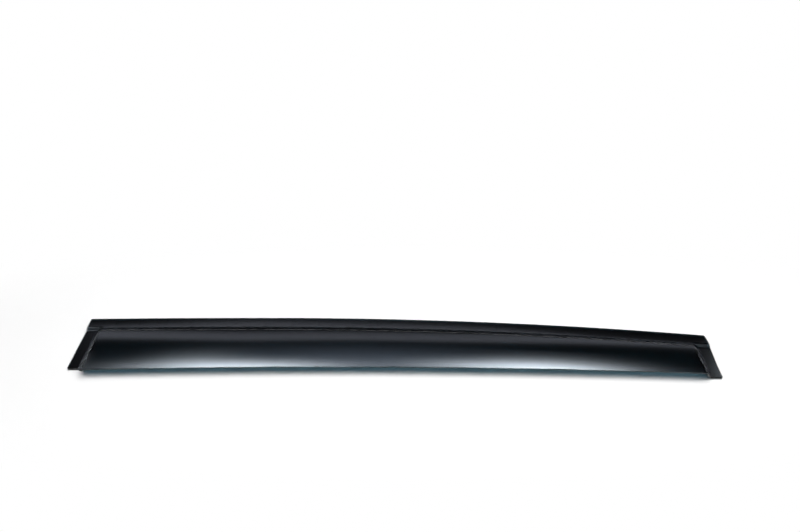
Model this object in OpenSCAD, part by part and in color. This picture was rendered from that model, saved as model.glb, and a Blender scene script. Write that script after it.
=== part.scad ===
// Rear-door window rain deflector: one sheet of smoked acrylic, formed over a mould and trimmed, with
// bonding tape behind its flange and its two end tabs. It lies on a table with the bonding side down:
// X runs along the door, +Y is the upper (flange) edge, -Y the free edge and +Z faces away from the glass.
// Millimetres and degrees. The origin is on the table, under the middle of the overall box.

/* [Overall] */
// Length between the outer lower corners of the two end tabs
length = 870; // [840:5:900]
// Depth from the highest point of the top edge to the lowest point of the free edge
depth = 100; // [97:1:104]
// Thickness of the acrylic sheet
sheet = 3; // [2.5:0.1:3]

/* [Edge lines in plan] */
// Place along the length where the top edge is highest
top_apex_x = -170; // [-200:5:-140]
// Radius of the top edge on the left of its highest point
top_radius_left = 18000; // [15000:500:24000]
// Radius of the top edge on the right of its highest point
top_radius_right = 5800; // [5600:50:6400]
// Place along the length where the free edge is highest
free_apex_x = -80; // [-110:5:-50]
// Radius of the free edge
free_radius = 12000; // [11000:250:14000]
// How far the left end leans in from its lower corner to its upper one
lean_left = 10.3; // [7:0.1:13]
// How far the right end leans in from its lower corner to its upper one
lean_right = 7; // [5:0.1:10]

/* [Flange and step] */
// Width of the flange, from the top edge to the line where the step wall meets it
flange_w = 17; // [16.5:0.1:18]
// Height of the flange above the end tabs
joggle = 3; // [2:0.1:3.5]
// Slope of the step wall between the flange and the blade
step_slope = 45; // [44:1:47]
// Radius across the flange's outer face, which the forming leaves slightly hollow
hollow_radius = 130; // [120:10:400]
// Distance from the top edge to the lowest line of that hollow at the left end
hollow_left = 9.5; // [7:0.5:10.5]
// Distance from the top edge to the lowest line of that hollow at the right end
hollow_right = 12.5; // [9:0.5:13]
// Size of the rounding at the foot of the walls
foot_round = 1; // [0.8:0.1:2]
// Radius of the outer face at the shoulder above the step wall
shoulder_radius = 2; // [1.5:0.1:3]
// Radius of the outer face at the crest of the end walls
crest_radius = 1.6; // [1.2:0.1:3]
// Size of the rounding at the two corners where the step wall meets an end wall
corner_round = 5; // [4.5:0.5:7]

/* [Blade] */
// Height of the blade's outer face at the free edge
free_z = 17; // [15:0.5:19]
// Fall of the blade from its shoulder to its free edge, as a share of that width
chord_fall = 0.1; // [0.06:0.01:0.14]
// Radius of the blade's crown across its width
crown_radius = 110; // [95:5:160]

/* [End tabs] */
// Width of each end tab, from its outer edge to the line where the end wall meets it
tab_w = 15.2; // [15:0.1:17]
// Slope of the drafted wall between a tab and the blade
end_slope = 55; // [50:1:55]
// Radius of the tabs' outer corners
tab_corner = 1.5; // [1:0.1:2.5]
// How far the right tab bows out below the flange
bow_right = 2; // [0:0.1:3]
// How far the left tab's lower edge stops short of the free edge
left_tab_rise = 10.8; // [4:0.1:12]
// How far the right tab's lower edge stops short of the free edge
right_tab_rise = 2; // [1:0.1:6]

/* [Bonding tape] */
// Width of the foam tape behind the flange
flange_tape_w = 12; // [9:0.5:12]
// Width of the foam tape behind each tab
tab_tape_w = 12; // [8:0.5:12]
// Gap between the edge of the sheet and the tape
tape_inset = 1; // [0.8:0.1:1]
// Thickness of the foam tape
tape_t = 1.3; // [1:0.1:1.5]
// Thickness of the release liner
liner_t = 0.2; // [0.2:0.05:0.3]

/* [Hidden] */

half = length / 2;
tab_z = liner_t + tape_t + sheet;
flange_z = tab_z + joggle;

// Radii at the shoulder and the crest of the face that the inner face follows at one sheet's distance
inner_shoulder_radius = sheet + 0.2;
inner_crest_radius = sheet + 0.6;

// The joggle between the flange and a tab, measured from the top edge
joggle_start = tape_inset + flange_tape_w;
joggle_w = 7.5;

// How far the tape of a tab reaches up under the joggle
joggle_lap = 2;

// Shares of the joggle that its rounding takes at the flange and at the tab
joggle_crest = 0.4;
joggle_foot = 0.3;

// Distance on each side of the shoulder's line that is divided finely
shoulder_reach = 2.5;

// Distance past a tab over which the joggle fades into the flange
joggle_fade = 10;

// Width in plan of an end wall at the free edge, and at the crown with its rounding
edge_run = (free_z - tab_z) / tan(end_slope);
crown_run = 19;

// Step for the slopes that give the sheet's normal
probe = 0.02;

// Number of lines across the flange, the joggle's start, the foot, the step wall, the shoulder and the blade
flange_lines = 4;
joggle_lines = 2;
foot_lines = 4;
wall_lines = 5;
shoulder_lines = 6;
blade_lines = 10;

// Distances in from an end where the sheet is cut into stations: the tab's rounded corners, the tab, the end
// wall, and on into the blade
wall_stations = 17;
foot_run = foot_round / tan(end_slope);
end_stations = [for (angle = [0 : 30 : 90]) tab_corner * (1 - cos(angle)),
                (tab_w - foot_run) / 2,
                for (k = [0 : wall_stations]) tab_w - foot_run + (crown_run + foot_run) * k / wall_stations,
                for (step = [3, 8, 16, 30]) tab_w + crown_run + step];
middle_stations = 12;

// Rises from 0 to 1 in a straight ramp, rounded over the share "low" at its foot and "high" at its crest
function ramp(u, low, high) =
    let (gain = 1 / (1 - low / 2 - high / 2))
    u <= 0 ? 0
    : u >= 1 ? 1
    : u < low ? gain * u * u / (2 * low)
    : u > 1 - high ? 1 - gain * pow(1 - u, 2) / (2 * high)
    : gain * (u - low / 2);

// Lower and upper of two heights, with the corner between them rounded over the height "round"
function blended_low(a, b, round) = min(a, b) - pow(max(round - abs(a - b), 0), 2) / (4 * round);
function blended_high(a, b, round) = -blended_low(-a, -b, round);

// How far a point of the lower edge is from the nearer end
function from_end(x) = half - abs(x);

// The station that starts at x on the lower edge meets the top edge here
function top_x(x) = x * (1 - (x < 0 ? lean_left : lean_right) / half);

function top_y(x) =
    depth / 2 - pow(x - top_apex_x, 2) / (2 * (x < top_apex_x ? top_radius_left : top_radius_right));

// The free edge is lowest at the crest of the right end wall
low_x = half - tab_w - edge_run;
function free_y(x) =
    -depth / 2 + (pow(low_x - free_apex_x, 2) - pow(x - free_apex_x, 2)) / (2 * free_radius);

// The lower edge: the free edge of the blade, and at each end a step up to the straight edge of the tab
function lower_y(x) =
    let (
        inner = min(abs(x), low_x),
        crest = free_y(x < 0 ? -inner : inner),
        rise = x < 0 ? left_tab_rise : right_tab_rise,
        turn = ramp((from_end(x) - tab_w) / edge_run, 0.5, 0.5)
    )
    crest + rise * (1 - turn);

// Width of the sheet in plan along a station, from the top edge to the lower edge
function width(x) = top_y(top_x(x)) - lower_y(x);

// Height and place of the shoulder, where the line of the step wall meets the blade
function shoulder_z(w) =
    (free_z + chord_fall * (w - flange_w + flange_z / tan(step_slope))) / (1 + chord_fall / tan(step_slope));
function shoulder_d(w) = flange_w + (shoulder_z(w) - flange_z) / tan(step_slope);

// Height of the blade's crown: an arc through the shoulder and the free edge
function crown(d, w) =
    let (
        run = w - shoulder_d(w),
        fall = shoulder_z(w) - free_z,
        chord = norm([run, fall]),
        reach = sqrt(crown_radius * crown_radius - chord * chord / 4) / chord,
        centre_d = w - run / 2 - fall * reach,
        centre_z = free_z + fall / 2 - run * reach
    )
    centre_z + sqrt(crown_radius * crown_radius - pow(d - centre_d, 2));

// Depth of the hollow across the flange's outer face
function sag(x, d) =
    let (
        lowest = hollow_left + (hollow_right - hollow_left) * (x + half) / length,
        reach = min(d, flange_w) - lowest
    )
    (lowest * lowest - reach * reach) / (2 * hollow_radius);

// Height of the bonding faces: the flange, and at the ends the tabs, one joggle lower. Here and below, "skin"
// is 1 for the outer face, with its hollow and tight roundings, and 0 for the face that the inner one follows
function bonding_z(x, d, skin) =
    let (
        drop = ramp((d - joggle_start) / joggle_w, joggle_crest, joggle_foot)
            * (1 - ramp((from_end(x) - tab_w) / joggle_fade, 0.5, 0.5))
    )
    flange_z - joggle * drop - skin * sag(x, d) * (1 - drop);

// Size of the rounding that gives a radius at the top of a wall of a certain slope
function top_round(radius, slope) = radius * pow(tan(slope), 2) / 2;

// Height of the face: the blade raised from the bonding faces by the step wall and the two end walls
function face_z(x, d, w, skin) =
    let (
        step_wall = flange_z + (d - flange_w) * tan(step_slope),
        end_wall = tab_z + (from_end(x) - tab_w) * tan(end_slope),
        walls = blended_low(step_wall, end_wall, corner_round),
        at_end = ramp((step_wall - end_wall) / (2 * corner_round) + 0.5, 0.5, 0.5),
        shoulder = top_round(skin == 1 ? shoulder_radius : inner_shoulder_radius, step_slope),
        crest = top_round(skin == 1 ? crest_radius : inner_crest_radius, end_slope),
        blade = blended_low(walls, crown(d, w), shoulder + (crest - shoulder) * at_end)
    )
    blended_high(bonding_z(x, d, skin), blade, foot_round);

// How far the right tab bows out, most at a quarter of the station's width and fading over the tab
function bow(x, share) =
    x < 0 ? 0 : bow_right * max(1 - from_end(x) / tab_w, 0) * share * pow(1 - share, 3) * 256 / 27;

// A point of the face: x of its station on the lower edge, and the distance d from the top edge
function face(x, d, skin) =
    let (w = width(x))
    [top_x(x) + (x - top_x(x)) * d / w + bow(x, d / w), top_y(top_x(x)) - d, face_z(x, d, w, skin)];

function unit(v) = v / norm(v);
function normal(x, d) =
    unit(cross(
        face(x, d - probe, 0) - face(x, d + probe, 0),
        face(x - probe, d, 0) - face(x + probe, d, 0)
    ));

// The same point on the outer face, and on the inner face
function outer(x, d) = face(x, d, 1);
function inner(x, d) = face(x, d, 0) - sheet * normal(x, d);

// How far a rounded corner of a tab holds back the top edge and the lower edge
function corner_cut(x) =
    let (a = max(tab_corner - from_end(x), 0))
    tab_corner - sqrt(tab_corner * tab_corner - a * a);

// Distances from the top edge where the station at x is divided
function divisions(x) =
    let (
        w = width(x),
        foot_from = flange_w - foot_round,
        foot_to = flange_w + foot_round,
        shoulder_from = shoulder_d(w) - shoulder_reach,
        shoulder_to = shoulder_d(w) + shoulder_reach
    )
    [
        corner_cut(x),
        for (k = [1 : flange_lines - 1]) joggle_start * k / flange_lines,
        for (k = [0 : joggle_lines - 1]) joggle_start + (foot_from - joggle_start) * k / joggle_lines,
        for (k = [0 : foot_lines - 1]) foot_from + (foot_to - foot_from) * k / foot_lines,
        for (k = [0 : wall_lines - 1]) foot_to + (shoulder_from - foot_to) * k / wall_lines,
        for (k = [0 : shoulder_lines - 1]) shoulder_from + (shoulder_to - shoulder_from) * k / shoulder_lines,
        for (k = [0 : blade_lines - 1]) shoulder_to + (w - shoulder_to) * k / blade_lines,
        w - corner_cut(x)
    ];

// Every station along the lower edge, from the left end to the right one
function stations() =
    let (reach = half - end_stations[len(end_stations) - 1])
    [
        for (a = end_stations) -half + a,
        for (k = [1 : middle_stations - 1]) reach * (2 * k / middle_stations - 1),
        for (k = [len(end_stations) - 1 : -1 : 0]) half - end_stations[k]
    ];

// A closed sheet through two grids of points of the same size, one above the other
module lofted_sheet(upper, lower) {
    rows = len(upper);
    cols = len(upper[0]);
    below = rows * cols;
    ring = concat(
        [for (c = [0 : cols - 1]) c],
        [for (r = [1 : rows - 1]) r * cols + cols - 1],
        [for (c = [cols - 2 : -1 : 0]) (rows - 1) * cols + c],
        [for (r = [rows - 2 : -1 : 1]) r * cols]
    );
    polyhedron(
        points = concat([for (row = upper) each row], [for (row = lower) each row]),
        faces = concat(
            [for (r = [0 : rows - 2], c = [0 : cols - 2], half_quad = [0, 1])
                let (p = r * cols + c, q = p + cols)
                half_quad == 0 ? [p, q, q + 1] : [p, q + 1, p + 1]],
            [for (r = [0 : rows - 2], c = [0 : cols - 2], half_quad = [0, 1])
                let (p = below + r * cols + c, q = p + cols)
                half_quad == 0 ? [p, q + 1, q] : [p, p + 1, q + 1]],
            [for (k = [0 : len(ring) - 1], half_quad = [0, 1])
                let (a = ring[k], b = ring[(k + 1) % len(ring)])
                half_quad == 0 ? [a, b, b + below] : [a, b + below, a + below]]
        ),
        convexity = 6
    );
}

module visor() {
    at = stations();
    upper = [for (x = at) [for (d = divisions(x)) outer(x, d)]];
    lower = [for (x = at) [for (d = divisions(x)) inner(x, d)]];
    color("#1c2026") lofted_sheet(upper, lower);
}

// Plan position of a point on the sheet
function plan(x, d) = let (p = face(x, d, 0)) [p[0], p[1]];

// A strip along the whole flange, following its curve
module flange_strip(thick) {
    at = [for (k = [0 : 24]) (half - tape_inset) * (k / 12 - 1)];
    linear_extrude(height = thick)
        polygon(concat(
            [for (x = at) plan(x, tape_inset)],
            [for (k = [len(at) - 1 : -1 : 0]) plan(at[k], tape_inset + flange_tape_w)]
        ));
}

// A strip of the tab at the end x = side * half, from under the joggle to the tab's lower edge
module tab_strip(side, thick) {
    outer_x = side * (half - tape_inset);
    inner_x = side * (half - tape_inset - tab_tape_w);
    from_d = joggle_start + joggle_w - joggle_lap;
    to_d = width(outer_x) - tape_inset;
    linear_extrude(height = thick)
        polygon([plan(outer_x, from_d), plan(outer_x, to_d), plan(inner_x, to_d), plan(inner_x, from_d)]);
}

module flange_tape() {
    color("#101010") translate([0, 0, joggle + liner_t]) flange_strip(tape_t);
}

module left_tab_tape() {
    color("#101010") translate([0, 0, liner_t]) tab_strip(-1, tape_t);
}

module right_tab_tape() {
    color("#101010") translate([0, 0, liner_t]) tab_strip(1, tape_t);
}

module flange_liner() {
    color("#a8241f") translate([0, 0, joggle]) flange_strip(liner_t);
}

module left_tab_liner() {
    color("#a8241f") tab_strip(-1, liner_t);
}

module right_tab_liner() {
    color("#a8241f") tab_strip(1, liner_t);
}

visor();
flange_tape();
left_tab_tape();
right_tab_tape();
flange_liner();
left_tab_liner();
right_tab_liner();
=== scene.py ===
"""A smoked acrylic window rain deflector, lying on its bonding side under soft studio light."""

import logging
import math
from dataclasses import dataclass, field
from enum import Enum

import bpy
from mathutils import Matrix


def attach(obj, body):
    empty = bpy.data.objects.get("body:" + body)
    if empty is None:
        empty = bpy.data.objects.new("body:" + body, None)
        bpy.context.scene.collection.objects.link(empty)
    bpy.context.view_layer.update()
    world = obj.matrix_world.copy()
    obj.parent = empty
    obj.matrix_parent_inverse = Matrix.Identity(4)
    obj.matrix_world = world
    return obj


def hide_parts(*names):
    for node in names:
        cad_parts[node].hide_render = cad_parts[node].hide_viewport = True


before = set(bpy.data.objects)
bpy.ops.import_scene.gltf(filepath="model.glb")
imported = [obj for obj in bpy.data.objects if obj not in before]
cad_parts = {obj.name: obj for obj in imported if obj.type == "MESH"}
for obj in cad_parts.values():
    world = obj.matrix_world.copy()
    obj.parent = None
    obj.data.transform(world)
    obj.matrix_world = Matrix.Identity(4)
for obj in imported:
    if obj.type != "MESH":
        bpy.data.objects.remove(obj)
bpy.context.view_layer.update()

MM = 0.001
BODY = "root"
# How much of its scale a wave texture takes to repeat
WAVE_PERIOD = 2 * math.pi / 20

log = logging.getLogger("deflector")

Point = tuple[float, float, float]
Face = tuple[int, ...]
Colour = tuple[float, float, float, float]
Stops = tuple[tuple[float, float], ...]
Source = bpy.types.NodeSocket | float | Point | Colour


class Slot(Enum):
    """The record's material slots."""

    ACRYLIC = "smoked_acrylic"
    FOAM = "foam_tape"
    LINER = "release_liner"


def linear(hex_colour: str) -> Colour:
    """Turns an sRGB colour into the linear colour that a shader socket takes.

    Args:
        hex_colour: Six hex digits after a hash sign.

    Returns:
        Linear red, green and blue, and an alpha of 1.
    """
    channels = (int(hex_colour[place:place + 2], 16) / 255 for place in (1, 3, 5))
    red, green, blue = (
        c / 12.92 if c <= 0.04045 else ((c + 0.055) / 1.055) ** 2.4 for c in channels
    )
    return red, green, blue, 1.0


def grey(value: float) -> Colour:
    """Gives a neutral linear colour of one value."""
    return value, value, value, 1.0


def ramp(share: float, low: float, high: float) -> float:
    """Rises from 0 to 1 in a straight ramp that is rounded at its foot and its crest.

    Args:
        share: Place along the ramp, from 0 to 1.
        low: Share of the ramp that its foot rounds.
        high: Share of the ramp that its crest rounds.

    Returns:
        The height, from 0 to 1.
    """
    gain = 1 / (1 - low / 2 - high / 2)
    if share <= 0:
        return 0.0
    if share >= 1:
        return 1.0
    if share < low:
        return gain * share * share / (2 * low)
    if share > 1 - high:
        return 1 - gain * (1 - share) ** 2 / (2 * high)
    return gain * (share - low / 2)


def blended_low(first: float, second: float, size: float) -> float:
    """Gives the lower of two heights, with their corner rounded over the height size."""
    return min(first, second) - max(size - abs(first - second), 0) ** 2 / (4 * size)


def blended_high(first: float, second: float, size: float) -> float:
    """Gives the higher of two heights, with their corner rounded over the height size."""
    return -blended_low(-first, -second, size)


def steps(start: float, stop: float, count: int) -> list[float]:
    """Divides a stretch evenly, with its start and without its stop."""
    return [start + (stop - start) * k / count for k in range(count)]


def unit(vector: Point) -> Point:
    """Scales a vector to length 1."""
    length = math.sqrt(sum(part * part for part in vector))
    return vector[0] / length, vector[1] / length, vector[2] / length


def cross(a: Point, b: Point) -> Point:
    """Gives the cross product of two vectors."""
    return a[1] * b[2] - a[2] * b[1], a[2] * b[0] - a[0] * b[2], a[0] * b[1] - a[1] * b[0]


def difference(a: Point, b: Point) -> Point:
    """Takes vector b from vector a."""
    return a[0] - b[0], a[1] - b[1], a[2] - b[2]


class Graph:
    """A node tree that is being filled."""

    def __init__(self, tree: bpy.types.NodeTree) -> None:
        """Empties the tree and keeps it.

        Args:
            tree: The node tree of a material or a world.
        """
        self.tree = tree
        tree.nodes.clear()

    def node(
        self, kind: str, links: dict[str | int, Source] | None = None, **settings: object
    ) -> bpy.types.Node:
        """Adds a node.

        Args:
            kind: The node's type, without the words ShaderNode before it.
            links: What goes into each socket, by name or number: an output socket or a value.
            **settings: Properties of the node itself.

        Returns:
            The new node.
        """
        made = self.tree.nodes.new("ShaderNode" + kind)
        for name, value in settings.items():
            setattr(made, name, value)
        for socket, value in (links or {}).items():
            if isinstance(value, bpy.types.NodeSocket):
                self.tree.links.new(value, made.inputs[socket])
            else:
                made.inputs[socket].default_value = value
        return made

    def arithmetic(
        self, operation: str, first: Source, second: Source = 0.0
    ) -> bpy.types.NodeSocket:
        """Adds a sum on one or two numbers.

        Args:
            operation: The operation.
            first: The first number.
            second: The second number, where the operation takes two.

        Returns:
            The result's socket.
        """
        return self.node("Math", {0: first, 1: second}, operation=operation).outputs[0]

    def scaled(self, place: bpy.types.NodeSocket, factor: Point) -> bpy.types.NodeSocket:
        """Scales a place by a factor along each axis."""
        return self.node("VectorMath", {0: place, 1: factor}, operation="MULTIPLY").outputs[0]

    def colour(
        self, factor: Source, first: Source, second: Source, blend: str = "MIX"
    ) -> bpy.types.NodeSocket:
        """Blends two colours.

        Args:
            factor: Share of the second colour.
            first: The first colour.
            second: The second colour.
            blend: How the two are blended.

        Returns:
            The colour's socket.
        """
        links = {0: factor, 6: first, 7: second}
        return self.node("Mix", links, data_type="RGBA", blend_type=blend).outputs[2]

    def shader(
        self, factor: Source, first: bpy.types.Node, second: bpy.types.Node
    ) -> bpy.types.Node:
        """Mixes two shaders.

        Args:
            factor: Share of the second shader.
            first: The first shader.
            second: The second shader.

        Returns:
            The mixing node.
        """
        return self.node("MixShader", {0: factor, 1: first.outputs[0], 2: second.outputs[0]})

    def relief(
        self, height: bpy.types.NodeSocket, strength: float, depth: float
    ) -> bpy.types.NodeSocket:
        """Bends the normals as a relief would.

        Args:
            height: The relief's height, from 0 to 1.
            strength: Share of the relief that shows.
            depth: The relief's depth in millimetres.

        Returns:
            The normal's socket.
        """
        links = {"Height": height, "Strength": strength, "Distance": depth * MM}
        return self.node("Bump", links).outputs["Normal"]

    def place(self) -> bpy.types.NodeSocket:
        """Gives the place on the object, in metres."""
        return self.node("TexCoord").outputs["Object"]


def new_material(name: str) -> tuple[bpy.types.Material, Graph]:
    """Makes an empty node material.

    Args:
        name: The material's name.

    Returns:
        The material and its graph.
    """
    material = bpy.data.materials.new(name)
    material.use_nodes = True
    return material, Graph(material.node_tree)


def value_ramp(graph: Graph, factor: bpy.types.NodeSocket, stops: Stops) -> bpy.types.NodeSocket:
    """Adds a ramp of grey values.

    Args:
        graph: The graph that gets the ramp.
        factor: What runs along the ramp.
        stops: Place and value of each stop.

    Returns:
        The ramp's output.
    """
    node = graph.node("ValToRGB", {"Fac": factor})
    node.color_ramp.interpolation = "B_SPLINE"
    elements = node.color_ramp.elements
    for place, value in stops[1:-1]:
        elements.new(place).color = grey(value)
    elements[0].position, elements[0].color = stops[0][0], grey(stops[0][1])
    elements[-1].position, elements[-1].color = stops[-1][0], grey(stops[-1][1])
    return node.outputs["Color"]


@dataclass(frozen=True)
class SmokedAcrylic:
    """Thermoformed cast acrylic sheet (PMMA), dyed in the mass with a cool smoke grey.

    The cast sheet leaves the mould with a mirror-smooth face, so the eye gets sharp, dark
    reflections of the studio, and a grey-teal light through the sheet where it stands clear of the
    table.
    """

    through: str = "#2a3d43"
    sheet: float = 3.0
    ior: float = 1.49
    roughness: float = 0.03
    edge_roughness: float = 0.28
    wave_length: float = 45.0
    wave_height: float = 0.006
    wave_detail: float = 1.0
    wave_roughness: float = 0.4
    shadow_light: float = 0.92

    def material(self, name: str, roughness: float) -> bpy.types.Material:
        """Makes the sheet's material.

        Args:
            name: The material's name.
            roughness: Roughness of the surface that it is for.

        Returns:
            The material.
        """
        material, graph = new_material(name)
        waves = graph.node(
            "TexNoise",
            {
                "Vector": graph.place(),
                "Scale": 1 / (self.wave_length * MM),
                "Detail": self.wave_detail,
                "Roughness": self.wave_roughness,
            },
        )
        glass = graph.node(
            "BsdfPrincipled",
            {
                "Base Color": grey(1.0),
                "Roughness": roughness,
                "IOR": self.ior,
                "Transmission Weight": 1.0,
                "Normal": graph.relief(waves.outputs["Fac"], 1.0, self.wave_height),
            },
        )
        # A shadow ray goes straight through, so that the dyed sheet tints its own shadow
        clear = graph.node("BsdfTransparent", {"Color": grey(self.shadow_light)})
        shadow_ray = graph.node("LightPath").outputs["Is Shadow Ray"]
        mixed = graph.shader(shadow_ray, glass, clear)
        density, colour = self.absorption()
        smoke = graph.node("VolumeAbsorption", {"Color": colour, "Density": density})
        graph.node("OutputMaterial", {"Surface": mixed.outputs[0], "Volume": smoke.outputs[0]})
        return material

    def absorption(self) -> tuple[float, Colour]:
        """Works out the dye from the colour that one thickness of the sheet lets through.

        Returns:
            Density per metre and colour of the absorption.
        """
        rates = [-math.log(channel) / (self.sheet * MM) for channel in linear(self.through)[:3]]
        density = max(rates)
        return density, (*(1 - rate / density for rate in rates), 1.0)

    def face(self) -> bpy.types.Material:
        """Makes the glossy face of the sheet."""
        return self.material("smoked_acrylic_face", self.roughness)

    def edge(self) -> bpy.types.Material:
        """Makes the routed edge of the sheet, which the cutter leaves satin."""
        return self.material("smoked_acrylic_edge", self.edge_roughness)


@dataclass(frozen=True)
class FoamTape:
    """Closed-cell foam tape, black, slit from a roll.

    It is matt and slightly open at its cut sides, so the eye gets a soft black with a fine pitted
    grain. The pits carry painted shade and the cell rims a painted lighter tone.
    """

    colour: str = "#161617"
    painted_rim_light: str = "#232325"
    cell: float = 0.5
    roughness: float = 0.88
    ior: float = 1.5
    pit: float = 0.08
    pit_strength: float = 0.6

    def material(self) -> bpy.types.Material:
        """Makes the foam's material."""
        material, graph = new_material("black_closed_cell_foam")
        scale = 1 / (self.cell * MM)
        cells = graph.node("TexVoronoi", {"Vector": graph.place(), "Scale": scale})
        depth = cells.outputs["Distance"]
        # Painted shade and light: the distance that dents the pits also darkens them and lightens
        # the rims
        foam = graph.node(
            "BsdfPrincipled",
            {
                "Base Color": graph.colour(depth, linear(self.colour), linear(self.painted_rim_light)),
                "Roughness": self.roughness,
                "IOR": self.ior,
                "Normal": graph.relief(depth, self.pit_strength, self.pit),
            },
        )
        graph.node("OutputMaterial", {"Surface": foam.outputs["BSDF"]})
        return material


@dataclass(frozen=True)
class LinerFilm:
    """Siliconed polyethylene release film, red, embossed with a fine lattice so that it peels.

    It is satin and a little uneven in tone, with a lattice that only a close look shows.
    """

    colour: str = "#b3261e"
    shade: str = "#971c17"
    tone_length: float = 1000 / 60
    tone_detail: float = 3.0
    pitch: float = 1.4
    emboss: float = 0.03
    emboss_strength: float = 0.5
    roughness: float = 0.36
    ior: float = 1.5

    def material(self) -> bpy.types.Material:
        """Makes the film's material."""
        material, graph = new_material("red_release_film")
        place = graph.place()
        tones = graph.node(
            "TexNoise",
            {
                "Vector": place,
                "Scale": 1 / (self.tone_length * MM),
                "Detail": self.tone_detail,
            },
        )
        turned = graph.node("Mapping", {"Vector": place, "Rotation": (0, 0, math.radians(45))})
        wave = {"Vector": turned.outputs[0], "Scale": WAVE_PERIOD / (self.pitch * MM)}
        bars, rungs = (
            graph.node("TexWave", wave, bands_direction=way).outputs["Fac"] for way in ("X", "Y")
        )
        lattice = graph.arithmetic("MAXIMUM", bars, rungs)
        film = graph.node(
            "BsdfPrincipled",
            {
                "Base Color": graph.colour(
                    tones.outputs["Fac"], linear(self.colour), linear(self.shade)
                ),
                "Roughness": self.roughness,
                "IOR": self.ior,
                "Normal": graph.relief(lattice, self.emboss_strength, self.emboss),
            },
        )
        graph.node("OutputMaterial", {"Surface": film.outputs["BSDF"]})
        return material


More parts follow.
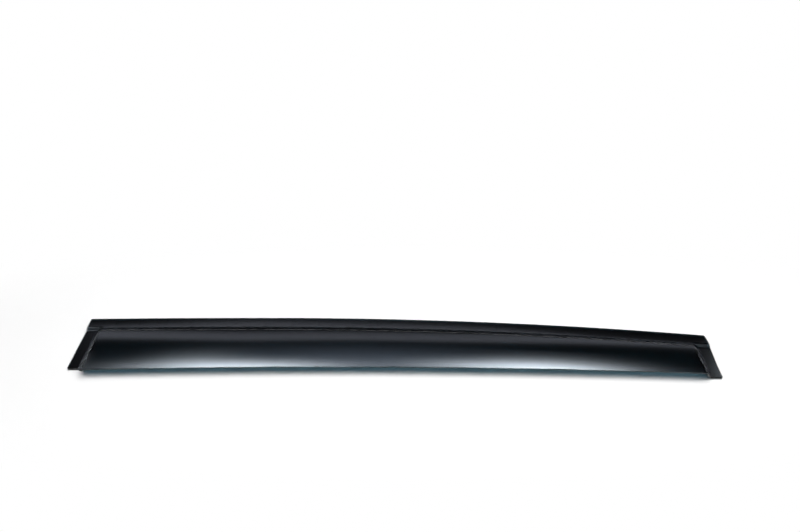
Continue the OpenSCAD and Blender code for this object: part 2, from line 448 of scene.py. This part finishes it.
@dataclass(frozen=True)
class SheetForm:
    """The formed sheet's shape, in millimetres and degrees, as in the part's source."""

    length: float = 870
    depth: float = 100
    sheet: float = 3
    top_apex_x: float = -170
    top_radius_left: float = 18000
    top_radius_right: float = 5800
    free_apex_x: float = -80
    free_radius: float = 12000
    lean_left: float = 10.3
    lean_right: float = 7
    flange_w: float = 17
    joggle: float = 3
    step_slope: float = 45
    foot_round: float = 1
    shoulder_radius: float = 2
    crest_radius: float = 1.6
    corner_round: float = 5
    hollow_left: float = 9.5
    hollow_right: float = 12.5
    hollow_radius: float = 130
    free_z: float = 17
    chord_fall: float = 0.1
    crown_radius: float = 110
    tab_w: float = 15.2
    end_slope: float = 55
    shoulder_spare: float = 0.2
    crest_spare: float = 0.6
    left_tab_rise: float = 10.8
    right_tab_rise: float = 2
    bow_right: float = 2
    flange_tape_w: float = 12
    tape_inset: float = 1
    tape_t: float = 1.3
    liner_t: float = 0.2
    tab_corner: float = 1.5
    joggle_w: float = 7.5
    joggle_crest: float = 0.4
    joggle_foot: float = 0.3
    joggle_fade: float = 10
    crown_run: float = 19
    probe: float = 0.02

    @property
    def half(self) -> float:
        """Half the length."""
        return self.length / 2

    @property
    def tab_z(self) -> float:
        """Height of the outer face of the tabs."""
        return self.liner_t + self.tape_t + self.sheet

    @property
    def flange_z(self) -> float:
        """Height of the outer face of the flange."""
        return self.tab_z + self.joggle

    @property
    def joggle_start(self) -> float:
        """Distance from the top edge to the joggle between the flange and a tab."""
        return self.tape_inset + self.flange_tape_w

    @property
    def edge_run(self) -> float:
        """Width in plan of an end wall at the free edge."""
        return (self.free_z - self.tab_z) / math.tan(math.radians(self.end_slope))

    def from_end(self, x: float) -> float:
        """Gives how far a point of the lower edge is from the nearer end."""
        return self.half - abs(x)

    def top_x(self, x: float) -> float:
        """Gives the place on the top edge of the station that starts at x on the lower edge."""
        return x * (1 - (self.lean_left if x < 0 else self.lean_right) / self.half)

    def top_y(self, x: float) -> float:
        """Gives the top edge in plan."""
        radius = self.top_radius_left if x < self.top_apex_x else self.top_radius_right
        return self.depth / 2 - (x - self.top_apex_x) ** 2 / (2 * radius)

    def free_y(self, x: float) -> float:
        """Gives the free edge in plan."""
        low_x = self.half - self.tab_w - self.edge_run
        fall = (low_x - self.free_apex_x) ** 2 - (x - self.free_apex_x) ** 2
        return -self.depth / 2 + fall / (2 * self.free_radius)

    def lower_y(self, x: float) -> float:
        """Gives the lower edge in plan: the free edge, with a step up to each tab's edge."""
        inner = min(abs(x), self.half - self.tab_w - self.edge_run)
        crest = self.free_y(math.copysign(inner, x))
        rise = self.left_tab_rise if x < 0 else self.right_tab_rise
        turn = ramp((self.from_end(x) - self.tab_w) / self.edge_run, 0.5, 0.5)
        return crest + rise * (1 - turn)

    def corner_cut(self, x: float, inset: float) -> float:
        """Gives how far a rounded corner of a tab holds back the outline.

        Args:
            x: The station's place on the lower edge.
            inset: How far inside the outline the wanted line runs.

        Returns:
            The distance from the straight edge to the line.
        """
        radius = max(self.tab_corner - inset, 0.0)
        a = min(max(radius - self.from_end(x) + inset, 0.0), radius)
        return inset + radius - math.sqrt(radius * radius - a * a)

    def width(self, x: float) -> float:
        """Gives the width of the sheet in plan along a station."""
        return self.top_y(self.top_x(x)) - self.lower_y(x)

    def shoulder_z(self, w: float) -> float:
        """Gives the height of the shoulder on a station of width w."""
        slope = math.tan(math.radians(self.step_slope))
        run = w - self.flange_w + self.flange_z / slope
        return (self.free_z + self.chord_fall * run) / (1 + self.chord_fall / slope)

    def shoulder_d(self, w: float) -> float:
        """Gives the distance of the shoulder from the top edge on a station of width w."""
        slope = math.tan(math.radians(self.step_slope))
        return self.flange_w + (self.shoulder_z(w) - self.flange_z) / slope

    def crown(self, d: float, w: float) -> float:
        """Gives the height of the blade's crown, an arc through the shoulder and the free edge."""
        run = w - self.shoulder_d(w)
        fall = self.shoulder_z(w) - self.free_z
        chord = math.hypot(run, fall)
        reach = math.sqrt(self.crown_radius ** 2 - chord * chord / 4) / chord
        centre_d = w - run / 2 - fall * reach
        centre_z = self.free_z + fall / 2 - run * reach
        return centre_z + math.sqrt(self.crown_radius ** 2 - (d - centre_d) ** 2)

    def bonding_z(self, x: float, d: float, skin: bool) -> float:
        """Gives the height of the bonding faces.

        Args:
            x: The station's place on the lower edge.
            d: Distance from the top edge.
            skin: True for the outer face, which the forming leaves hollow across the flange.

        Returns:
            The height of the flange and, one joggle lower at the ends, of the tabs.
        """
        drop = ramp((d - self.joggle_start) / self.joggle_w, self.joggle_crest, self.joggle_foot)
        drop *= 1 - ramp((self.from_end(x) - self.tab_w) / self.joggle_fade, 0.5, 0.5)
        sag = 0.0
        if skin:
            drift = self.hollow_right - self.hollow_left
            lowest = self.hollow_left + drift * (x + self.half) / self.length
            reach = min(d, self.flange_w) - lowest
            sag = (lowest * lowest - reach * reach) / (2 * self.hollow_radius) * (1 - drop)
        return self.flange_z - self.joggle * drop - sag

    def top_round(self, tight: float, spare: float, slope: float, skin: bool) -> float:
        """Gives the size of the rounding at the top of a wall.

        Args:
            tight: Radius on the outer face.
            spare: What the face that the inner face follows has over the sheet's thickness.
            slope: Slope of the wall.
            skin: True for the outer face.

        Returns:
            The height over which the wall and the crown are blended.
        """
        radius = tight if skin else self.sheet + spare
        return radius * math.tan(math.radians(slope)) ** 2 / 2

    def face_z(self, x: float, d: float, w: float, skin: bool) -> float:
        """Gives the height of the face.

        Args:
            x: The station's place on the lower edge.
            d: Distance from the top edge.
            w: The station's width.
            skin: True for the outer face, False for the face that the inner face follows.

        Returns:
            The height.
        """
        step_rise = math.tan(math.radians(self.step_slope))
        end_rise = math.tan(math.radians(self.end_slope))
        step_wall = self.flange_z + (d - self.flange_w) * step_rise
        end_wall = self.tab_z + (self.from_end(x) - self.tab_w) * end_rise
        walls = blended_low(step_wall, end_wall, self.corner_round)
        at_end = ramp((step_wall - end_wall) / (2 * self.corner_round) + 0.5, 0.5, 0.5)
        shoulder = self.top_round(self.shoulder_radius, self.shoulder_spare, self.step_slope, skin)
        crest = self.top_round(self.crest_radius, self.crest_spare, self.end_slope, skin)
        blade = blended_low(walls, self.crown(d, w), shoulder + (crest - shoulder) * at_end)
        return blended_high(self.bonding_z(x, d, skin), blade, self.foot_round)

    def bow(self, x: float, share: float) -> float:
        """Gives how far the right tab bows out, at a share of the station's width."""
        if x < 0:
            return 0.0
        fade = max(1 - self.from_end(x) / self.tab_w, 0)
        # The last factor brings the curve's highest point, at a quarter of the width, to 1
        return self.bow_right * fade * share * (1 - share) ** 3 * 256 / 27

    def outer(self, x: float, d: float, skin: bool = True) -> Point:
        """Gives a point of the face, by its station and its distance from the top edge."""
        w = self.width(x)
        top = self.top_x(x)
        across = top + (x - top) * d / w + self.bow(x, d / w)
        return across, self.top_y(top) - d, self.face_z(x, d, w, skin)

    def normal(self, x: float, d: float) -> Point:
        """Gives the outward direction of the face, by differences over a small probe."""
        near, far = -self.probe, self.probe
        along_d = difference(self.outer(x, d + near, False), self.outer(x, d + far, False))
        along_x = difference(self.outer(x + near, d, False), self.outer(x + far, d, False))
        return unit(cross(along_d, along_x))

    def inside(self, x: float, d: float, deep: float) -> Point:
        """Gives a point of the sheet.

        Args:
            x: The station's place on the lower edge.
            d: Distance from the top edge.
            deep: Depth under the outer face, up to the sheet's thickness.

        Returns:
            The point in millimetres.
        """
        shell = self.outer(x, d, False)
        skin = self.outer(x, d)
        normal = self.normal(x, d)
        share = 1 - deep / self.sheet
        return (
            shell[0] - normal[0] * deep,
            shell[1] - normal[1] * deep,
            shell[2] - normal[2] * deep + (skin[2] - shell[2]) * share,
        )


@dataclass
class Visor:
    """The formed sheet of smoked acrylic, with its flange, step, blade, end walls and tabs."""

    form: SheetForm = field(default_factory=SheetForm)
    finish: SmokedAcrylic = field(default_factory=SmokedAcrylic)
    edge_round: float = 0.35
    edge_steps: int = 4
    edge_land: float = 0.9
    least_gap: float = 0.1
    corner_steps: int = 5
    tab_step: float = 1.6
    wall_step: float = 0.5
    wall_margin: float = 3.0
    blade_step: float = 5.0
    flange_lines: int = 14
    foot_lines: int = 12
    wall_lines: int = 9
    shoulder_lines: int = 16
    shoulder_reach: float = 3.0
    blade_lines: int = 44

    def stations(self) -> list[float]:
        """Gives the places along the lower edge where the sheet is cut across."""
        form = self.form
        wall_from = form.tab_w - self.wall_margin
        wall_to = form.tab_w + form.crown_run + self.wall_margin
        reaches = [
            (0.0, form.tab_corner, self.corner_steps),
            (form.tab_corner, wall_from, round(wall_from / self.tab_step)),
            (wall_from, wall_to, round((wall_to - wall_from) / self.wall_step)),
            (wall_to, form.half, round((form.half - wall_to) / self.blade_step)),
        ]
        left = [-form.half + a for reach in reaches for a in steps(*reach)]
        return left + [0.0] + [-x for x in reversed(left)]

    def divisions(self, w: float) -> list[float]:
        """Gives the distances from the top edge where a station of width w is divided."""
        form = self.form
        foot_from = form.joggle_start
        foot_to = form.flange_w + form.foot_round
        wall_to = form.shoulder_d(w) - self.shoulder_reach
        blade_from = form.shoulder_d(w) + self.shoulder_reach
        reaches = [
            (0.0, self.edge_land, 1),
            (self.edge_land, foot_from, self.flange_lines),
            (foot_from, foot_to, self.foot_lines),
            (foot_to, wall_to, self.wall_lines),
            (wall_to, blade_from, self.shoulder_lines),
            (blade_from, w - self.edge_land, self.blade_lines),
            (w - self.edge_land, w, 1),
        ]
        return [d for reach in reaches for d in steps(*reach)] + [w]

    def spot(self, x: float, line: int, inset: float) -> tuple[float, float]:
        """Places a grid point, kept a small inset away from the sheet's outline.

        Args:
            x: The station.
            line: The division's number.
            inset: The least distance from the outline.

        Returns:
            The station and the distance from the top edge.
        """
        limit = self.form.half - inset
        x = max(-limit, min(limit, x))
        w = self.form.width(x)
        lines = self.divisions(w)
        low = self.form.corner_cut(x, inset) + self.least_gap * line
        high = w - self.form.corner_cut(x, inset) - self.least_gap * (len(lines) - 1 - line)
        return x, max(low, min(high, lines[line]))

    def build(self) -> bpy.types.Object:
        """Builds the sheet as one closed mesh with rounded edges.

        Returns:
            The new object.
        """
        at = self.stations()
        rows = len(at)
        cols = len(self.divisions(self.form.width(0.0)))
        ring = [(0, c) for c in range(cols)]
        ring += [(r, cols - 1) for r in range(1, rows)]
        ring += [(rows - 1, c) for c in range(cols - 2, -1, -1)]
        ring += [(r, 0) for r in range(rows - 2, 0, -1)]

        sheet, curve = self.form.sheet, self.edge_round
        turns = [math.pi / 2 * k / self.edge_steps for k in range(1, self.edge_steps + 1)]
        upper_turn = [(curve * (1 - math.sin(t)), curve * (1 - math.cos(t))) for t in turns]
        lower_turn = [(inset, sheet - deep) for inset, deep in reversed(upper_turn)]

        points: list[Point] = []
        faces: list[Face] = []
        grids = []
        for deep in (0.0, sheet):
            grids.append(len(points))
            points += [
                self.form.inside(*self.spot(x, c, curve), deep) for x in at for c in range(cols)
            ]
        rims = []
        for inset, deep in upper_turn + lower_turn:
            rims.append(len(points))
            points += [self.form.inside(*self.spot(at[r], c, inset), deep) for r, c in ring]

        upper, lower = grids
        for r in range(rows - 1):
            for c in range(cols - 1):
                p = r * cols + c
                q = p + cols
                faces.append((upper + p, upper + p + 1, upper + q + 1, upper + q))
                faces.append((lower + p, lower + q, lower + q + 1, lower + p + 1))
        skin_faces = len(faces)
        loops = [[upper + r * cols + c for r, c in ring]]
        loops += [[start + k for k in range(len(ring))] for start in rims]
        loops.append([lower + r * cols + c for r, c in ring])
        for near, far in zip(loops, loops[1:]):
            for k in range(len(ring)):
                after = (k + 1) % len(ring)
                faces.append((near[k], far[k], far[after], near[after]))

        piece = new_piece("visor_sheet", points, faces)
        piece.data.materials.append(self.finish.face())
        piece.data.materials.append(self.finish.edge())
        for number, polygon in enumerate(piece.data.polygons):
            polygon.use_smooth = True
            polygon.material_index = int(number >= skin_faces)
        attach(piece, BODY)
        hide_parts("visor")
        return piece


def new_piece(name: str, points: list[Point], faces: list[Face]) -> bpy.types.Object:
    """Makes a mesh object from points in millimetres.

    Args:
        name: The object's name.
        points: The vertices.
        faces: The faces, by vertex number.

    Returns:
        The new object, linked into the scene.
    """
    mesh = bpy.data.meshes.new(name)
    mesh.from_pydata([(x * MM, y * MM, z * MM) for x, y, z in points], [], faces)
    mesh.validate()
    piece = bpy.data.objects.new(name, mesh)
    bpy.context.scene.collection.objects.link(piece)
    return piece


@dataclass
class BondingTape:
    """The foam strips behind the flange and the tabs, and the release film on each of them."""

    foam: FoamTape = field(default_factory=FoamTape)
    film: LinerFilm = field(default_factory=LinerFilm)
    foam_nodes: tuple[str, ...] = ("flange_tape", "left_tab_tape", "right_tab_tape")
    film_nodes: tuple[str, ...] = ("flange_liner", "left_tab_liner", "right_tab_liner")

    def dress(self) -> list[bpy.types.Object]:
        """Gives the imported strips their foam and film.

        Returns:
            The dressed nodes.
        """
        dressed = []
        for names, material in (
            (self.foam_nodes, self.foam.material()),
            (self.film_nodes, self.film.material()),
        ):
            for name in names:
                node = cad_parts[name]
                node.data.materials.clear()
                node.data.materials.append(material)
                dressed.append(node)
        return dressed


@dataclass(frozen=True)
class Softbox:
    """A diffuser overhead that only reflections see: hot in the middle and fading to its edges.

    Its glow falls off as a bell, with spread as the distance to 60% of the middle, along x and y.
    Each diffuser hangs at its own height, so that a reflected ray meets every one.
    """

    name: str
    centre: Point
    spread: tuple[float, float]
    radiance: float
    colour: str = "#eaf5ff"
    reach: float = 3.2


@dataclass(frozen=True)
class Droop:
    """A stretch of the surround's x direction over which its strip light comes down."""

    start: float
    stop: float
    degrees: float


@dataclass
class Studio:
    """The table, the lamps, the surround that the gloss mirrors, and the camera."""

    floor_half: float = 6.0
    floor_colour: str = "#f4f4f4"
    mirrored_floor: str = "#c8cacc"
    floor_roughness: float = 0.7
    shadow_reach: tuple[float, float] = (0.47, 0.10)
    shadow_gone: float = 2.0
    lamp_size: tuple[float, float] = (0.80, 0.80)
    lamp_centres: tuple[Point, ...] = (
        (-0.66, -0.22, 1.5), (0.12, 0.26, 1.5), (0.84, -0.12, 1.5),
    )
    lamp_power: float = 12.5
    fill: float = 0.05
    camera_at: Point = (0.00889, -0.5939, 0.81434)
    camera_pitch: float = 47.36
    camera_lens: float = 32.94
    softboxes: tuple[Softbox, ...] = (
        Softbox("softbox_left", (-0.515, -0.296, 1.52), (0.201, 0.199), 22.0),
        Softbox("softbox_left_edge", (-0.665, -0.18, 1.53), (0.10, 0.334), 4.0),
        Softbox("softbox_right", (0.371, -0.136, 1.525), (0.194, 0.187), 13.4),
        Softbox("softbox_right_edge", (0.513, -0.445, 1.535), (0.156, 0.356), 23.6),
        Softbox("softbox_wide", (-0.126, -0.114, 1.54), (0.393, 0.46), 1.9, "#d2e4ff"),
        Softbox("softbox_left_end", (-1.085, 0.04, 1.55), (0.025, 0.16), 7.0),
        Softbox("softbox_far_left", (-2.4, 1.05, 1.56), (0.26, 0.30), 13.0),
        Softbox("softbox_far_right", (2.3, 0.60, 1.57), (0.26, 0.34), 13.0),
        Softbox("softbox_right_end", (1.27, 0.95, 1.565), (0.035, 0.10), 2.4),
    )
    droops: tuple[Droop, ...] = (Droop(-0.17, -0.45, 11.0), Droop(0.04, 0.44, 11.0))
    surround_colour: str = "#dae0f0"
    surround: Stops = (
        (-90, 1.0), (-2, 1.0), (3, 0.5), (8, 0.05), (32, 0.05), (35, 0.25), (39, 0.75),
        (43, 1.3), (49, 1.65), (51, 1.15), (53, 1.0), (55, 0.5), (58, 0.15), (64, 0.06),
        (90, 0.06),
    )

    def build(self) -> None:
        """Builds the whole studio."""
        self.floor()
        for softbox in self.softboxes:
            self.softbox(softbox)
        self.lamps()
        self.world()
        self.camera()

    def floor(self) -> None:
        """Lays the white table top, which keeps the object's shadow."""
        half = self.floor_half / MM
        corners = [(-half, -half, 0), (half, -half, 0), (half, half, 0), (-half, half, 0)]
        floor = new_piece("table_top", corners, [(0, 1, 2, 3)])
        material, graph = new_material("white_laminate")
        sides = (1 / self.shadow_reach[0], 1 / self.shadow_reach[1], 1.0)
        ellipse = graph.scaled(graph.place(), sides)
        away = graph.node("VectorMath", {0: ellipse}, operation="LENGTH")
        far = graph.node(
            "MapRange",
            {"Value": away.outputs["Value"], "From Min": 1.0, "From Max": self.shadow_gone},
            interpolation_type="SMOOTHSTEP",
        )
        path = graph.node("LightPath").outputs
        seen = graph.arithmetic("MAXIMUM", path["Is Camera Ray"], path["Is Transmission Ray"])
        white = graph.arithmetic("MULTIPLY", seen, far.outputs[0])
        # The gloss mirrors a dimmer table than the camera sees
        tone = graph.colour(
            path["Is Glossy Ray"], linear(self.floor_colour), linear(self.mirrored_floor)
        )
        laminate = graph.node(
            "BsdfPrincipled",
            {"Base Color": tone, "Roughness": self.floor_roughness, "Specular IOR Level": 0.0},
        )
        backdrop = graph.node("Emission", {"Color": grey(1.0), "Strength": 1.0})
        mixed = graph.shader(white, laminate, backdrop)
        graph.node("OutputMaterial", {"Surface": mixed.outputs[0]})
        floor.data.materials.append(material)

    def softbox(self, box: Softbox) -> None:
        """Hangs one diffuser.

        Args:
            box: The diffuser.
        """
        wide, long = (side * box.reach / MM for side in box.spread)
        corners = [(-wide, -long, 0), (-wide, long, 0), (wide, long, 0), (wide, -long, 0)]
        panel = new_piece(box.name, corners, [(0, 1, 2, 3)])
        panel.location = box.centre
        panel.visible_camera = False
        panel.visible_diffuse = False
        panel.visible_shadow = False
        material, graph = new_material(box.name + "_diffuser")
        flat = graph.scaled(graph.place(), (1 / box.spread[0], 1 / box.spread[1], 1.0))
        square = graph.node("VectorMath", {0: flat, 1: flat}, operation="DOT_PRODUCT")
        fall = graph.arithmetic("MULTIPLY", square.outputs["Value"], -0.5)
        bell = graph.arithmetic("POWER", math.e, fall)
        glow = graph.arithmetic("MULTIPLY", bell, box.radiance)
        emission = graph.node("Emission", {"Color": linear(box.colour), "Strength": glow})
        clear = graph.node("BsdfTransparent")
        both = graph.node("AddShader", {0: emission.outputs[0], 1: clear.outputs[0]})
        graph.node("OutputMaterial", {"Surface": both.outputs[0]})
        panel.data.materials.append(material)

    def lamps(self) -> None:
        """Hangs the large soft lamps that light the table and cast the shadow."""
        for centre in self.lamp_centres:
            lamp = bpy.data.lights.new("soft_lamp", "AREA")
            lamp.shape = "RECTANGLE"
            lamp.size, lamp.size_y = self.lamp_size
            lamp.energy = self.lamp_power
            holder = bpy.data.objects.new("soft_lamp", lamp)
            holder.location = centre
            holder.visible_camera = False
            holder.visible_glossy = False
            holder.visible_transmission = False
            bpy.context.scene.collection.objects.link(holder)

    def world(self) -> None:
        """Sets the surround: dim as a light, with a soft strip light that the gloss mirrors."""
        world = bpy.data.worlds.new("studio_surround")
        world.use_nodes = True
        bpy.context.scene.world = world
        graph = Graph(world.node_tree)
        direction = graph.node("TexCoord").outputs["Generated"]
        parts = graph.node("SeparateXYZ", {0: direction})
        angle = graph.arithmetic("ARCSINE", parts.outputs["Z"])
        # The strip light hangs lower towards both ends
        for droop in self.droops:
            lower = graph.node(
                "MapRange",
                {
                    "Value": parts.outputs["X"],
                    "From Min": droop.start,
                    "From Max": droop.stop,
                    "To Max": math.radians(droop.degrees),
                },
                interpolation_type="SMOOTHSTEP",
            )
            angle = graph.arithmetic("ADD", angle, lower.outputs[0])
        share = graph.node(
            "MapRange",
            {"Value": angle, "From Min": -math.pi / 2, "From Max": math.pi / 2},
        )
        brightest = max(value for _, value in self.surround)
        stops = tuple(((above + 90) / 180, value / brightest) for above, value in self.surround)
        glow = value_ramp(graph, share.outputs[0], stops)
        path = graph.node("LightPath").outputs
        tinted = graph.colour(1.0, glow, linear(self.surround_colour), "MULTIPLY")
        mirrored = graph.node("Background", {"Color": tinted, "Strength": brightest})
        pale = graph.node("Background", {"Color": grey(1.0), "Strength": 1.0})
        dim = graph.node("Background", {"Color": grey(1.0), "Strength": self.fill})
        gloss = graph.shader(path["Is Glossy Ray"], dim, mirrored)
        seen = graph.arithmetic("MAXIMUM", path["Is Camera Ray"], path["Is Transmission Ray"])
        whole = graph.shader(seen, gloss, pale)
        graph.node("OutputWorld", {"Surface": whole.outputs[0]})

    def camera(self) -> None:
        """Sets the camera at the photograph's viewing angle."""
        data = bpy.data.cameras.new("camera")
        data.lens = self.camera_lens
        camera = bpy.data.objects.new("camera", data)
        camera.location = self.camera_at
        camera.rotation_euler = (math.radians(90 - self.camera_pitch), 0, 0)
        bpy.context.scene.collection.objects.link(camera)
        bpy.context.scene.camera = camera


def main() -> None:
    """Builds the studio and the deflector, piece by piece."""
    logging.basicConfig(level=logging.INFO, format="%(name)s: %(message)s")
    bpy.context.scene.view_settings.view_transform = "Standard"
    Studio().build()
    visor = Visor().build()
    log.info("%s: %d faces", visor.name, len(visor.data.polygons))
    for strip in BondingTape().dress():
        log.info("%s: dressed with %s", strip.name, strip.data.materials[0].name)


if __name__ == "__main__":
    main()
